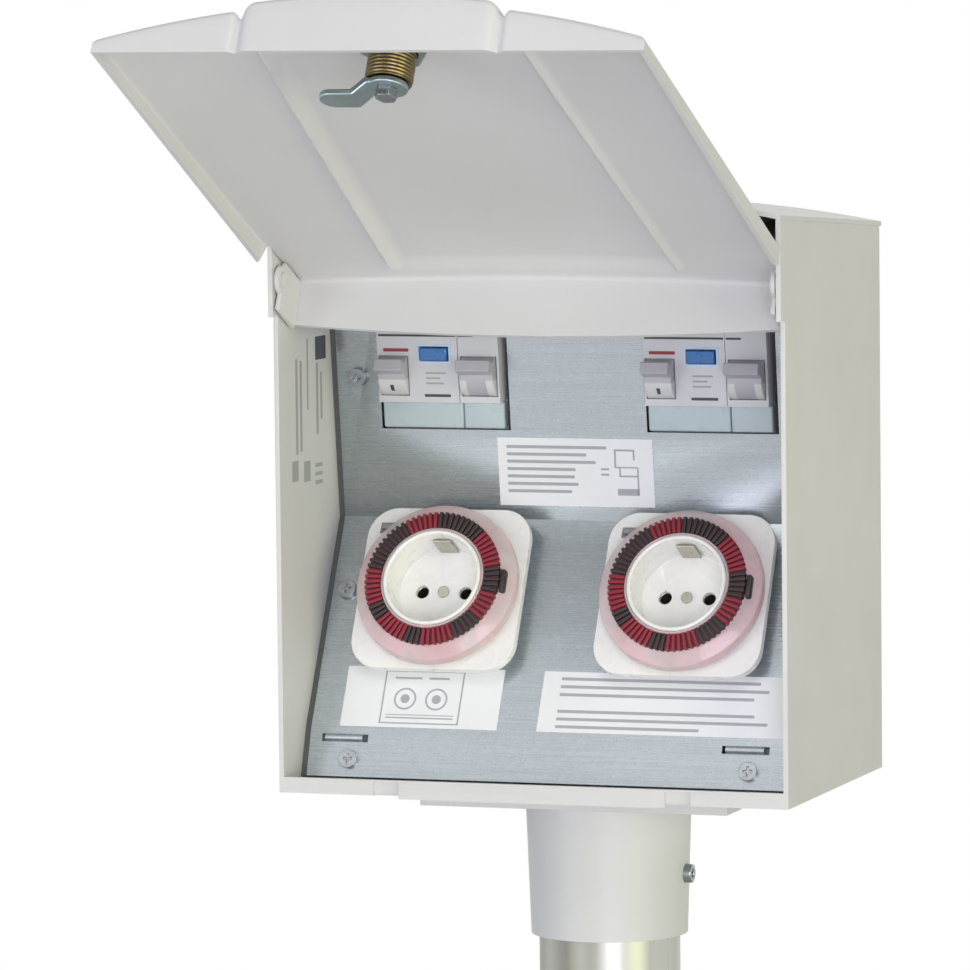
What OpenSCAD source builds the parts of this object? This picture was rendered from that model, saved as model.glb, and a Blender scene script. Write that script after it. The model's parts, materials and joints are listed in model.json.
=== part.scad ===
// Garden socket post: a sheet metal cabinet with a lift-up door on a tube post.
// Inside, a bent mounting plate carries two breaker groups and two socket outlets with timer dials.
// The origin is the centre of the post's lower end, +Z is up and the cabinet's front faces -Y.

/* [Post] */
// Outer diameter of the post tube
post_d = 60; // [50:0.5:68]
// Wall of the post tube
post_wall = 3; // [2:0.5:5]
// Length of the post tube
post_len = 500; // [300:10:1200]
// Distance from the cabinet's back to the post axis
post_back = 38; // [36:1:44]

/* [Collar] */
// Wall of the cast collar at its lower end
collar_wall = 3; // [2.5:0.5:6]
// Extra radius of the collar at its upper end
collar_taper = 2; // [0:0.5:6]
// Height of the collar below its flange
collar_h = 58; // [40:1:90]
// Width of the collar flange
flange_w = 135; // [110:1:180]
// Depth of the collar flange
flange_d = 86; // [80:1:96]
// Distance from the cabinet's back to the flange's back edge
flange_back = 1.5; // [0:0.5:6]
// Thickness of the collar flange
flange_t = 11; // [6:0.5:16]
// Thickness of the stop that the tube's top end meets
collar_stop = 4; // [2:0.5:6]
// Radial clearance between tube and collar
post_clear = 0.3; // [0.1:0.05:0.8]
// Thread diameter of the collar's bolts and set screw
collar_bolt_d = 8; // [5:1:10]

/* [Cabinet] */
// Width of the cabinet
body_w = 220; // [212:1:240]
// Depth of the cabinet behind its front edge
body_d = 142; // [140:1:170]
// Sheet thickness of the cabinet
sheet = 2; // [1.5:0.1:2.5]
// Least room between the breakers and the top of the sides
head_room = 6.5; // [6:0.1:12]
// Height of the part of the sides that steps forward
hood_h = 41; // [40.5:0.5:45]
// Fall of the roof from front to back
roof_fall = 9; // [4:0.5:10]
// Rise of the curved roof between the sides
roof_crown = 10; // [6:0.5:20]
// How far the upper sides stand forward of the lower ones
hood_reach = 6; // [3:0.5:6.2]
// Height of the lip along the front of the floor
lip_h = 6.5; // [5:0.5:9]
// Width of each relief in the lip
relief_w = 11; // [6:0.5:16]
// Distance of each relief from the middle
relief_x = 63; // [50:0.5:80]
// Diameter of the cable hole in the floor
cable_d = 28; // [20:1:36]

/* [Door] */
// How far the door stands out past each side of the cabinet
door_over = 1.5; // [1:0.1:3]
// Gap between the door's rim and the cabinet's front edges
door_gap = 0.6; // [0.4:0.1:1.2]
// Depth of the door's side walls at its lower end
door_side = 6; // [5:0.5:8]
// Depth of the door's side walls at its upper end
door_side_top = 10; // [8:0.5:10.5]
// Bow of the door at its lower end
bow_low = 16; // [12:0.5:22]
// Bow of the door at its upper end
bow_top = 3; // [1:0.5:5]
// Sheet thickness of the door
door_t = 2; // [1.5:0.1:2.5]
// Lower end of the door, below the cabinet's underside
door_drop = 1.5; // [0.5:0.5:4]
// Gap between the closed door's upper end and the top of the sides
door_top_gap = 3.5; // [3.5:0.1:6]
// Opening angle of the door at rest
door_open = 117; // [0:1:120]
// Width of the raised band at the lower end
band_low = 100; // [80:1:120]
// Width of the raised band at the upper end
band_top = 119; // [90:1:140]
// Height of the raised band
band_rise = 2.5; // [0.5:0.1:3]
// Width of the groove beside the band
groove_w = 5; // [3:0.5:8]
// Depth of the groove beside the band
groove_deep = 2.5; // [0.5:0.1:3]
// Reach of the door's hinge strip behind the hinge line, at its ends
strip_reach = 10.5; // [6:0.5:14]
// Extra reach of the hinge strip in its middle
strip_bow = 4.5; // [0:0.5:8]

/* [Hinge] */
// Hinge axis behind the cabinet's front edge
hinge_y = 0; // [-0.5:0.1:1]
// Hinge axis below the top of the sides at the front
hinge_drop = 26; // [25.5:0.1:26.5]
// Diameter of the hinge pins
pin_d = 6; // [4:0.5:8]
// Radial clearance of the hinge pins
pin_clear = 0.05; // [0.02:0.01:0.1]
// Gap between each door ear and the cabinet side
ear_gap = 0.7; // [0.4:0.1:1.5]
// Thickness of the door ears
ear_t = 2; // [1.5:0.1:3]
// Reach of the ears behind the hinge axis
ear_back = 13; // [7:0.5:14]
// Radius of the ears' rounded end about the hinge axis
ear_r = 6.2; // [5:0.1:6.5]

/* [Lock] */
// Height of the lock axis above the cabinet's underside
lock_z = 30; // [28:0.5:40]
// Diameter of the lock barrel
lock_d = 19; // [16:0.5:22]
// Diameter of the lock's rotating plug
plug_d = 12; // [9:0.5:13]
// Width across the flats of the lock nut
lock_nut_af = 24; // [23:0.5:30]
// Length of the cam from the lock axis
cam_len = 27; // [25.5:0.5:29]
// Width of the cam
cam_w = 12; // [8:0.5:14]
// Thickness of the cam
cam_t = 2.5; // [1.5:0.1:3]
// Crank of the cam between its hub and its arm
cam_crank = 5; // [2:0.5:6]
// Gap between the locked cam and the back of the lip
cam_gap = 1.2; // [0.6:0.1:3]

/* [Mounting plate] */
// Gap between the mounting plate and each side of the cabinet
plate_gap = 3; // [1:0.5:6]
// Thickness of the mounting plate
plate_t = 1.5; // [1:0.1:2.5]
// Upper bend behind the cabinet's front
bend_y = 69.5; // [67:0.5:72]
// Lower bend above the cabinet's underside
low_bend_z = 24.85; // [22:0.05:27]
// Lower end of the plate above the cabinet's underside
foot_z = 5; // [3:0.5:9]
// Forward lean of the upper part
plate_lean = 7; // [0:0.5:10]
// Tilt of the middle part
plate_tilt = 27.5; // [25:0.5:30]
// Tilt of the lower part
foot_tilt = 18.5; // [5:0.5:25]
// How far the plate goes on above the middle of the breakers
plate_over = 31.5; // [28:0.5:33.5]
// Width of the brackets behind the plate's edges
bracket_w = 16; // [12:0.5:18]
// Thread diameter of the plate screws
screw_d = 5; // [3:0.5:6]

/* [Breakers] */
// Width of one breaker module
module_w = 18; // [17.5:0.1:18.5]
// Distance of each breaker group from the plate's edge
group_edge = 19.5; // [18.5:0.5:24]
// Room along the plate between its upper bend and the breakers
breaker_low = 28.5; // [26:0.5:32]
// Height of a breaker
breaker_h = 88; // [80:1:92]
// Height of a breaker's nose
nose_h = 45; // [44:0.5:46]
// How far the nose stands out of the plate
nose_out = 4; // [2:0.5:8]
// Depth of the nose in front of the shoulders
nose_d = 9; // [7:0.5:12]
// Depth of a breaker from its shoulders to the rail
shoulder_d = 51; // [48:0.5:52]
// Gap round the noses in the plate
cutout_gap = 0.6; // [0.4:0.1:1.5]
// Spare width of the cut-outs to the right of the noses
cutout_spare = 2; // [0:0.1:3]
// How far the cut-outs go on below the noses
cutout_low = 12; // [6:0.5:14]
// Radius of the toggle drums
drum_r = 9.4; // [7:0.1:9.6]
// Reach of the toggle levers from their axis
lever_r = 15; // [12:0.5:17]
// Rest angle of the toggles above the plate's normal
toggle_rest = 25; // [15:1:28]
// Clearance round toggles and buttons
switch_gap = 0.4; // [0.3:0.05:0.6]

/* [Timers] */
// Distance of each timer from the plate's edge
timer_edge = 15.75; // [15:0.25:20]
// Room along the plate between its lower bend and the timers
timer_low = 23; // [22.5:0.5:30]
// Room along the plate between the timers and its upper bend
timer_high = 0.4; // [0.3:0.1:4]
// Width of the timer base
timer_w = 72; // [70:0.5:76]
// Height of the timer base
timer_h = 72; // [70:0.5:76]
// Thickness of the timer base
timer_t = 11; // [8:0.5:12]
// Thickness of the timer base's front plate
timer_face = 4; // [3.8:0.1:5]
// Step from the edge of the front plate in to the pedestal behind it
timer_step = 5; // [3:0.5:6]
// Corner radius of the timer base
timer_r = 13; // [9:0.5:14]
// Height of the socket rim above the plate
rim_q = 24; // [22:0.5:28]
// Outer diameter of the socket cup
cup_d = 42.4; // [40.4:0.2:43]
// Diameter of the socket recess
socket_d = 39; // [38:0.1:39.6]
// Depth of the socket recess
socket_depth = 17.5; // [16.5:0.1:18]
// Spacing of the socket's pin holes
pin_pitch = 19; // [18:0.5:20]
// Outer diameter of the tappet ring
tappet_d = 59; // [56:0.5:64]
// Number of tappets round a dial
tappet_n = 72; // [24:12:96]
// Outer diameter of the clear dial at its foot
skirt_d = 70; // [65:0.5:72]
// Height of the clear dial's straight foot
skirt_h = 5; // [2:0.5:6]
// Height of the tappets above the clear dial
tappet_h = 3; // [2:0.5:5]
// Radial clearance of the dial on the socket cup
dial_clear = 0.1; // [0.05:0.01:0.1]
// Depth of the timer housing behind the plate
housing_d = 34; // [32:0.5:38]

/* [Hidden] */
$fn = 64;
eps = 0.01;
box_z = post_len + collar_stop;
post_y = body_d - post_back;
flange_y = body_d - flange_back - flange_d;
inner_w = body_w - 2 * sheet;
hole_clear = 0.1;
collar_low_d = post_d + 2 * (post_clear + collar_wall);
collar_top_d = collar_low_d + 2 * collar_taper;
bore_d = post_d - 2 * post_wall;
stop_in = 3;
bolt_in_x = 17;
bolt_in_y = 10;
set_screw_drop = 32;
set_screw_z = box_z - flange_t - set_screw_drop;
plate_run = timer_low + timer_h + timer_high;
bend_z = low_bend_z + plate_run * cos(plate_tilt);
rail_clip = 4;
rail_y = nose_d - nose_out + shoulder_d;
breaker_rise = (breaker_low + breaker_h) * cos(plate_lean) + (rail_y + rail_clip) * sin(plate_lean);
// The sides' height goes up to the next whole millimetre
front_h = ceil(bend_z + breaker_rise + head_room);
back_h = front_h - roof_fall;
step_h = front_h - hood_h;
roof_run = body_d + hood_reach;
roof_slope = atan((front_h - back_h) / roof_run);
roof_len = roof_run / cos(roof_slope);
roof_r = (pow(body_w / 2, 2) + pow(roof_crown, 2)) / (2 * roof_crown);
roof_seat = 0.8;
valance_t = 1.5;
valance_low = 2.5;

hinge_z = front_h - hinge_drop;
door_w = body_w + 2 * door_over;
door_top = front_h - door_top_gap;
rim_y = hinge_y - door_gap;
door_low = -door_drop;
neck_gap = 1.5;
neck_z = step_h - neck_gap;
ear_x = inner_w / 2 - ear_gap;
neck_w = 2 * ear_x;
flank_n = 6;
band_n = 10;
ring_n = 9;
cam_y = sheet + cam_gap;
lock_head_t = 3;
hole_reach = 2 * (door_side_top + bow_low);
lock_seat = 1.4;
plug_gap = 0.3;
lock_screw_d = 5;

plate_w = inner_w - 2 * plate_gap;
breaker_s = breaker_low + breaker_h / 2;
plate_up = breaker_s + plate_over;
low_bend_y = bend_y - plate_run * sin(plate_tilt);
foot_y = low_bend_y - (low_bend_z - foot_z) * tan(foot_tilt);
bracket_t = 2;
plate_points = [
    [foot_y, foot_z],
    [low_bend_y, low_bend_z],
    [bend_y, bend_z],
    [bend_y - plate_up * sin(plate_lean), bend_z + plate_up * cos(plate_lean)]
];
plate_angles = [-foot_tilt, -plate_tilt, plate_lean];
edge_x = plate_w / 2 - 9;
foot_screw_x = edge_x - 9;
foot_screw_s = 7.4;
top_screw_s = 60;
timer_s = timer_low + timer_h / 2;
mid_screw_s = timer_s + 2.6;
mid_screw_x = edge_x + 2.5;
lug_w = 16.5;
lug_d = 3.3;
lug_out = 0.3;
lug_slit = 1.9;
lug_s = foot_screw_s + 9;
lug_x = [-foot_screw_x - 2.5, foot_screw_x - 2];

group_w = 3 * module_w;
group_x = plate_w / 2 - group_edge - group_w / 2;
cutout_s = breaker_s - nose_h / 2 - cutout_low;
rail_h = 35;
rail_t = 1;
rail_d = 7.5;
rail_w = inner_w;
rail_clip_gap = 0.4;
toggle_y = 5 - nose_out;
toggle_drop = 11;
toggle_s = breaker_s - toggle_drop;
axle_r = 1.5;
axle_clear = 0.05;
axle_len = 0.6;
axle_end_gap = 0.1;
lever_t = 5;
rcd_toggle_w = 12;
mcb_toggle_w = 15;
button_w = 12;
button_h = 5.5;
button_out = 1.5;
button_d = 7;
button_x = 7.5;
button_drop = 1.5;
button_s = breaker_s - button_drop;
button_travel = 1.2;

timer_x = plate_w / 2 - timer_edge - timer_w / 2;
housing_w = 62;
housing_r = 8;
housing_wall = 2;
floor_q = rim_q - socket_depth;
cup_back = -14;
cup_hole_d = cup_d + 2 * dial_clear + 4;
dial_gap = 1.2;
cup_fit = 0.05;
skirt_q = timer_t + dial_gap;
hub_r = cup_d / 2 + dial_clear;
hub_wall = 1.1;
hub_gap = 0.2;
tappet_drop = 0.5;
tappet_in = hub_r + hub_wall + hub_gap;
tappet_q = rim_q - tappet_drop - tappet_h;
tappet_share = 0.72;
tappet_w = tappet_share * 2 * PI * tappet_in / tappet_n;
// Where the dial's tappets are set out, as [from, to] angles
red_zones = [[15, 45], [95, 122], [175, 205], [225, 252], [270, 298], [322, 348]];
pin_hole_d = 5.5;
sleeve_d = 8;
sleeve_wall = 1.2;
clip_w = 8;
clip_t = 1;
clip_h = 12;
motor_d = 36;
motor_h = 15;
slide_w = 6.5;
slide_h = 2.4;
slide_out = 0.8;
slide_deep = 3;
slide_travel = 1.5;
slide_in_x = 9;
slide_in_y = 8.4;
slide_x = timer_w / 2 - slide_in_x;
slide_y = timer_h / 2 - slide_in_y;
slide_gap = 0.4;

sticker_t = 0.2;
sticker_gap = 0.6;
sticker_h = timer_low + timer_step - 2 * sticker_gap;
// Each sticker's left edge, lower edge, width and height on its part of the plate
upper_sticker = [-0.167 * plate_w, 6, 0.324 * plate_w, 29];
left_sticker = [-0.44 * plate_w, sticker_gap, 0.329 * plate_w, sticker_h];
right_sticker = [-0.028 * plate_w, sticker_gap, 0.511 * plate_w, sticker_h];
grommet_wall = 3;
grommet_lip = 2;
block_w = 46;
block_d = 18;
block_h = 24;
block_z = 40;
stud_d = 6;
stud_len = 14;
stud_in = 30;
stud_x = inner_w / 2 - stud_in;

function reverse(v) = [for (i = [len(v) - 1:-1:0]) v[i]];
function lerp(a, b, f) = a + (b - a) * f;
// Unit normal of a sheet turned by angle a about X, pointing to its back, as [y, z]
function normal(a) = [cos(a), sin(a)];
// Mitred offset at a bend between two sheets turned by a and b
function mitre(a, b) = normal((a + b) / 2) / cos((a - b) / 2);
// The plate's outline line, moved back from its front face by o
function plate_line(o) = [
    plate_points[0] + o * normal(plate_angles[0]),
    plate_points[1] + o * mitre(plate_angles[0], plate_angles[1]),
    plate_points[2] + o * mitre(plate_angles[1], plate_angles[2]),
    plate_points[3] + o * normal(plate_angles[2])
];

// Frames
module cabinet() {
    translate([0, -post_y, box_z]) children();
}
module upper_plate() {
    cabinet() translate([0, bend_y, bend_z]) rotate([plate_lean, 0, 0]) children();
}
module tilted_plate() {
    cabinet() translate([0, low_bend_y, low_bend_z]) rotate([-plate_tilt, 0, 0]) children();
}
module foot_plate() {
    cabinet() translate([0, foot_y, foot_z]) rotate([-foot_tilt, 0, 0]) children();
}
// A timer's own frame: Z points out of the plate along the dial's axis
module timer(side) {
    tilted_plate() translate([side * timer_x, 0, timer_s]) rotate([90, 0, 0]) children();
}
// The door's frame, drawn closed and turned open about the hinge
module door() {
    cabinet() translate([0, hinge_y, hinge_z]) rotate([-door_open, 0, 0])
        translate([0, -hinge_y, -hinge_z]) children();
}
// A profile in Y and Z, carried w along X about the middle
module across(w) {
    translate([-w / 2, 0, 0]) rotate([90, 0, 90]) linear_extrude(w) children();
}
module block(low, high) {
    translate(low) cube(high - low);
}
module rounded_rectangle(w, h, r) {
    square([w, h - 2 * r], center = true);
    square([w - 2 * r, h], center = true);
    for (x = [-1, 1], y = [-1, 1]) translate([x * (w / 2 - r), y * (h / 2 - r)]) circle(r);
}
module both_sides() {
    children();
    mirror([1, 0, 0]) children();
}

// Post and collar
module post_tube() {
    color("silver") difference() {
        cylinder(d = post_d, h = post_len);
        translate([0, 0, -eps]) cylinder(d = bore_d, h = post_len + 2 * eps);
    }
}
module bolt_places() {
    for (x = [-1, 1], y = [flange_y + bolt_in_y, flange_y + flange_d - bolt_in_y])
        cabinet() translate([x * (flange_w / 2 - bolt_in_x), y, 0]) children();
}
module collar_flange() {
    color([0.78, 0.78, 0.76]) difference() {
        cabinet() block([-flange_w / 2, flange_y, -flange_t], [flange_w / 2, flange_y + flange_d, 0]);
        translate([0, 0, box_z - flange_t - eps])
            cylinder(r = post_d / 2 + post_clear, h = flange_t - collar_stop + eps);
        translate([0, 0, post_len - eps]) cylinder(d = bore_d - 2 * stop_in, h = collar_stop + 2 * eps);
        bolt_places() translate([0, 0, -flange_t - eps])
            cylinder(r = collar_bolt_d / 2 + hole_clear, h = flange_t + 2 * eps);
    }
}
module collar_sleeve() {
    color([0.78, 0.78, 0.76]) difference() {
        translate([0, 0, box_z - flange_t - collar_h])
            cylinder(d1 = collar_low_d, d2 = collar_top_d, h = collar_h);
        translate([0, 0, box_z - flange_t - collar_h - eps])
            cylinder(r = post_d / 2 + post_clear, h = collar_h + 2 * eps);
        set_screw_hole();
    }
}
module set_screw_hole() {
    translate([0, 0, set_screw_z]) rotate([0, 90, 0])
        cylinder(r = collar_bolt_d / 2 + hole_clear, h = collar_top_d);
}
module collar_set_screw() {
    key_d = collar_bolt_d / 2;
    key_deep = 3;
    screw_len = collar_top_d / 2 + 2 - post_d / 2;
    color("gray") translate([post_d / 2, 0, set_screw_z]) rotate([0, 90, 0]) difference() {
        cylinder(d = collar_bolt_d, h = screw_len);
        translate([0, 0, screw_len - key_deep]) cylinder(d = key_d, h = key_deep + eps, $fn = 6);
    }
}
module collar_bolts() {
    head_t = 5;
    color("silver") bolt_places() {
        translate([0, 0, sheet]) cylinder(d = 1.7 * collar_bolt_d, h = head_t, $fn = 6);
        translate([0, 0, -flange_t + 1]) cylinder(d = collar_bolt_d, h = flange_t - 1 + sheet);
    }
}

// Cabinet
module side_outline() {
    polygon([
        [0, 0], [0, step_h], [-hood_reach, step_h], [-hood_reach, front_h],
        [body_d, back_h], [body_d, 0]
    ]);
}
module cabinet_body() {
    relief_d = 0.8;
    lip_drop = 1.2;
    color([0.8, 0.8, 0.75]) cabinet() difference() {
        union() {
            block([-body_w / 2, 0, 0], [body_w / 2, body_d, sheet]);
            block([-body_w / 2, 0, 0], [body_w / 2, sheet, lip_h]);
            block([-relief_x, 0, -lip_drop], [relief_x, sheet, sheet]);
            both_sides() translate([(body_w - sheet) / 2, 0, 0]) across(sheet) side_outline();
        }
        for (x = [-relief_x, relief_x]) {
            block([x - relief_w / 2, -eps, -lip_drop - eps], [x + relief_w / 2, relief_d, lip_h - relief_d]);
            block([x - relief_w / 2, -eps, -lip_drop - eps], [x + relief_w / 2, sheet + eps, relief_d]);
        }
        translate([0, post_y, -eps]) cylinder(d = cable_d, h = sheet + 2 * eps);
        for (x = [-1, 1], y = [flange_y + bolt_in_y, flange_y + flange_d - bolt_in_y])
            translate([x * (flange_w / 2 - bolt_in_x), y, -eps])
                cylinder(r = collar_bolt_d / 2 + hole_clear, h = sheet + 2 * eps);
    }
}
module back_panel() {
    color([0.76, 0.76, 0.72]) cabinet()
        block([-inner_w / 2, body_d - sheet, sheet], [inner_w / 2, body_d, back_h]);
}
module roof_arch(r) {
    translate([0, roof_crown - roof_r]) circle(r, $fn = 200);
}
module roof() {
    drip = 3;
    color([0.8, 0.8, 0.76]) cabinet() translate([0, -hood_reach, front_h]) rotate([-roof_slope, 0, 0]) {
        translate([0, roof_len + drip, 0]) rotate([90, 0, 0]) linear_extrude(roof_len + drip) {
            intersection() {
                difference() {
                    roof_arch(roof_r + sheet);
                    roof_arch(roof_r);
                }
                translate([-body_w / 2, 0]) square([body_w, roof_crown + 2 * sheet]);
            }
            for (x = [-body_w / 2, body_w / 2 - sheet]) translate([x, 0]) square([sheet, roof_seat]);
        }
        translate([0, valance_t, 0]) roof_end(valance_low);
        translate([0, roof_len, 0]) roof_end(0);
    }
}
module roof_end(low) {
    rotate([90, 0, 0]) linear_extrude(valance_t) intersection() {
        roof_arch(roof_r + sheet / 2);
        translate([-body_w / 2, low]) square([body_w, roof_crown + sheet]);
    }
}
module hinge_pins() {
    washer_d = pin_d + 4;
    washer_t = ear_gap - 0.1;
    color("silver") cabinet() both_sides() translate([inner_w / 2, hinge_y, hinge_z]) rotate([0, -90, 0]) {
        cylinder(d = pin_d, h = ear_gap + ear_t);
        cylinder(d = washer_d, h = washer_t);
    }
}
module cable_grommet() {
    color([0.15, 0.15, 0.15]) cabinet() translate([0, post_y, 0]) difference() {
        union() {
            cylinder(d = cable_d, h = sheet);
            translate([0, 0, sheet]) cylinder(d = cable_d + 2 * grommet_wall, h = grommet_lip);
        }
        translate([0, 0, -eps]) cylinder(d = cable_d - 2 * grommet_wall, h = sheet + grommet_lip + 2 * eps);
    }
}
module terminal_block() {
    poles = 3;
    screw_hole = 5;
    color([0.9, 0.9, 0.86]) cabinet() difference() {
        translate([-block_w / 2, body_d - sheet - block_d, block_z]) cube([block_w, block_d, block_h]);
        for (i = [0:poles - 1]) translate([(i - 1) * block_w / poles, 0, 0]) {
            translate([0, body_d - sheet - block_d - eps, block_z + block_h / 2]) rotate([-90, 0, 0])
                cylinder(d = screw_hole, h = block_d / 2);
            translate([0, body_d - sheet - block_d / 2, block_z - eps])
                cylinder(d = screw_hole, h = block_h / 3);
        }
    }
}
module earth_stud() {
    nut_t = 5;
    color("goldenrod") cabinet() translate([stud_x, body_d - sheet, block_z]) rotate([90, 0, 0]) {
        cylinder(d = stud_d, h = stud_len);
        cylinder(d = 1.9 * stud_d, h = nut_t, $fn = 6);
    }
}

// Mounting plate
module plate_profile(from, to) {
    polygon(concat(plate_line(from), reverse(plate_line(to))));
}
module screw_places() {
    both_sides() {
        upper_plate() translate([edge_x, 0, top_screw_s]) rotate([90, 0, 0]) children();
        tilted_plate() translate([mid_screw_x, 0, mid_screw_s]) rotate([90, 0, 0]) children();
        foot_plate() translate([foot_screw_x, 0, foot_screw_s]) rotate([90, 0, 0]) children();
    }
}
module screw_holes() {
    depth = plate_t + bracket_t + 1;
    screw_places() translate([0, 0, -depth]) cylinder(r = screw_d / 2 + hole_clear, h = depth + 1);
}
module plate_brackets() {
    color("silver") difference() {
        cabinet() both_sides() translate([(inner_w - bracket_w) / 2, 0, 0]) {
            across(bracket_w) plate_profile(plate_t, plate_t + bracket_t);
            translate([-bracket_w, 0, 0]) across(bracket_w) polygon([
                plate_line(plate_t)[0], plate_line(plate_t)[1],
                plate_line(plate_t + bracket_t)[1], plate_line(plate_t + bracket_t)[0]
            ]);
        }
        screw_holes();
    }
}
module mounting_plate() {
    cutout_w = group_w + 2 * cutout_gap + cutout_spare;
    cutout_h = breaker_s + nose_h / 2 + cutout_gap - cutout_s;
    through = 20;
    color([0.68, 0.71, 0.73]) difference() {
        union() {
            cabinet() across(plate_w) plate_profile(0, plate_t);
            for (x = lug_x) foot_plate() translate([x, -lug_out, lug_s]) rotate([0, 90, 0])
                cylinder(d = lug_d, h = lug_w, center = true);
        }
        for (side = [-1, 1]) {
            upper_plate() translate([side * group_x - group_w / 2 - cutout_gap, -through / 2, cutout_s])
                cube([cutout_w, through, cutout_h]);
            timer(side) translate([0, 0, -through / 2]) cylinder(d = cup_hole_d, h = through);
        }
        for (x = lug_x, end = [-1, 1])
            foot_plate() translate([x + end * (lug_w + lug_slit) / 2, 0, lug_s])
                cube([lug_slit, through, lug_d], center = true);
        screw_holes();
    }
}
module plate_screws() {
    head_d = 1.6 * screw_d;
    head_t = 0.4 * screw_d;
    cross_w = 0.2 * screw_d;
    color("gainsboro") screw_places() {
        difference() {
            cylinder(d = head_d, h = head_t);
            for (a = [0, 90]) rotate([0, 0, a]) translate([-head_d / 4, -cross_w / 2, head_t / 2])
                cube([head_d / 2, cross_w, head_t]);
        }
        translate([0, 0, -plate_t - bracket_t - 1]) cylinder(d = screw_d, h = plate_t + bracket_t + 1 + eps);
    }
}
module sticker(place) {
    translate([place[0], -sticker_t, place[1]]) cube([place[2], sticker_t, place[3]]);
}
module plate_stickers() {
    color("white") {
        upper_plate() sticker(upper_sticker);
        tilted_plate() sticker(left_sticker);
        tilted_plate() sticker(right_sticker);
    }
}
module din_rail() {
    hat_h = 25;
    half = rail_h / 2;
    color("silver") upper_plate() translate([0, rail_y, breaker_s]) across(rail_w) polygon([
        [0, -half], [0, -hat_h / 2 + rail_t], [rail_d - rail_t, -hat_h / 2 + rail_t],
        [rail_d - rail_t, hat_h / 2 - rail_t], [0, hat_h / 2 - rail_t], [0, half],
        [rail_t, half], [rail_t, hat_h / 2], [rail_d, hat_h / 2],
        [rail_d, -hat_h / 2], [rail_t, -hat_h / 2], [rail_t, -half]
    ]);
}

// Breakers
module breaker_profile() {
    nose = nose_h / 2;
    tall = breaker_h / 2;
    shoulder_y = nose_d - nose_out;
    clip_half = rail_h / 2 + rail_clip_gap;
    translate([0, breaker_s]) polygon([
        [-nose_out, -nose], [-nose_out, nose], [shoulder_y, nose], [shoulder_y, tall],
        [rail_y + rail_clip, tall], [rail_y + rail_clip, clip_half], [rail_y, clip_half],
        [rail_y, -clip_half], [rail_y + rail_clip, -clip_half], [rail_y + rail_clip, -tall],
        [shoulder_y, -tall], [shoulder_y, -nose]
    ]);
}
module toggle_cavity(w) {
    translate([0, toggle_y, toggle_s]) rotate([0, 90, 0]) {
        cylinder(r = drum_r + switch_gap, h = w + 2 * switch_gap, center = true);
        cylinder(r = axle_r + axle_clear, h = w + 2 * (switch_gap + axle_len), center = true);
    }
}
module toggle(x, w) {
    color([0.62, 0.61, 0.64]) upper_plate() translate([x, toggle_y, toggle_s]) rotate([-toggle_rest, 0, 0]) {
        rotate([0, 90, 0]) cylinder(r = drum_r, h = w, center = true);
        rotate([0, 90, 0])
            cylinder(r = axle_r, h = w + 2 * (switch_gap + axle_len - axle_end_gap), center = true);
        translate([-w / 2, -lever_r, -lever_t / 2]) cube([w, lever_r, lever_t]);
    }
}
function rcd_mid(side) = side * group_x - module_w / 2;
function mcb_mid(side) = side * group_x + module_w;
function rcd_toggle_x(side) = rcd_mid(side) - module_w / 2 - 1.5;
module button_space(side, grow) {
    left = rcd_mid(side) + button_x - button_w / 2;
    translate([left - grow, -nose_out - button_out, button_s - button_h / 2 - grow])
        cube([button_w + 2 * grow, button_d + button_out + 3 * grow, button_h + 2 * grow]);
}
module rcd(side) {
    color([0.88, 0.87, 0.87]) upper_plate() difference() {
        translate([rcd_mid(side), 0, 0]) across(2 * module_w - 0.2) breaker_profile();
        translate([rcd_toggle_x(side), 0, 0]) toggle_cavity(rcd_toggle_w);
        button_space(side, switch_gap);
        translate([0, button_travel, 0]) button_space(side, switch_gap);
    }
}
module test_button(side) {
    color([0.18, 0.41, 0.69]) upper_plate() button_space(side, 0);
}
module mcb(side) {
    color([0.88, 0.87, 0.87]) upper_plate() difference() {
        translate([mcb_mid(side), 0, 0]) across(module_w - 0.2) breaker_profile();
        translate([mcb_mid(side), 0, 0]) toggle_cavity(mcb_toggle_w);
    }
}

// Timers
module timer_base(side) {
    color([0.94, 0.94, 0.92]) timer(side) difference() {
        union() {
            linear_extrude(timer_t) rounded_rectangle(
                timer_w - 2 * timer_step, timer_h - 2 * timer_step, timer_r - timer_step);
            translate([0, 0, timer_t - timer_face]) linear_extrude(timer_face)
                rounded_rectangle(timer_w, timer_h, timer_r);
        }
        translate([0, 0, -eps]) cylinder(r = cup_d / 2 + cup_fit, h = timer_t + 2 * eps);
        slide_pocket();
    }
}
module slide_pocket() {
    low = slide_y - slide_h / 2 - slide_gap - slide_travel;
    translate([-slide_x - slide_w / 2 - slide_gap, low, timer_t - slide_deep - slide_gap])
        cube([slide_w + 2 * slide_gap, slide_h + 2 * slide_gap + slide_travel, slide_deep + 1]);
}
module override_slide(side) {
    color([0.55, 0.56, 0.58]) timer(side)
        translate([-slide_x - slide_w / 2, slide_y - slide_h / 2, timer_t - slide_deep])
            cube([slide_w, slide_h, slide_deep + slide_out]);
}
module timer_housing(side) {
    color([0.92, 0.92, 0.9]) timer(side) translate([0, 0, -plate_t - housing_d]) difference() {
        linear_extrude(housing_d) rounded_rectangle(housing_w, housing_w, housing_r);
        translate([0, 0, housing_wall]) linear_extrude(housing_d) rounded_rectangle(
            housing_w - 2 * housing_wall, housing_w - 2 * housing_wall, housing_r - housing_wall);
    }
}
module timer_motor(side) {
    color("silver") timer(side) translate([0, 0, -plate_t - housing_d + housing_wall])
        cylinder(d = motor_d, h = motor_h);
}
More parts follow.
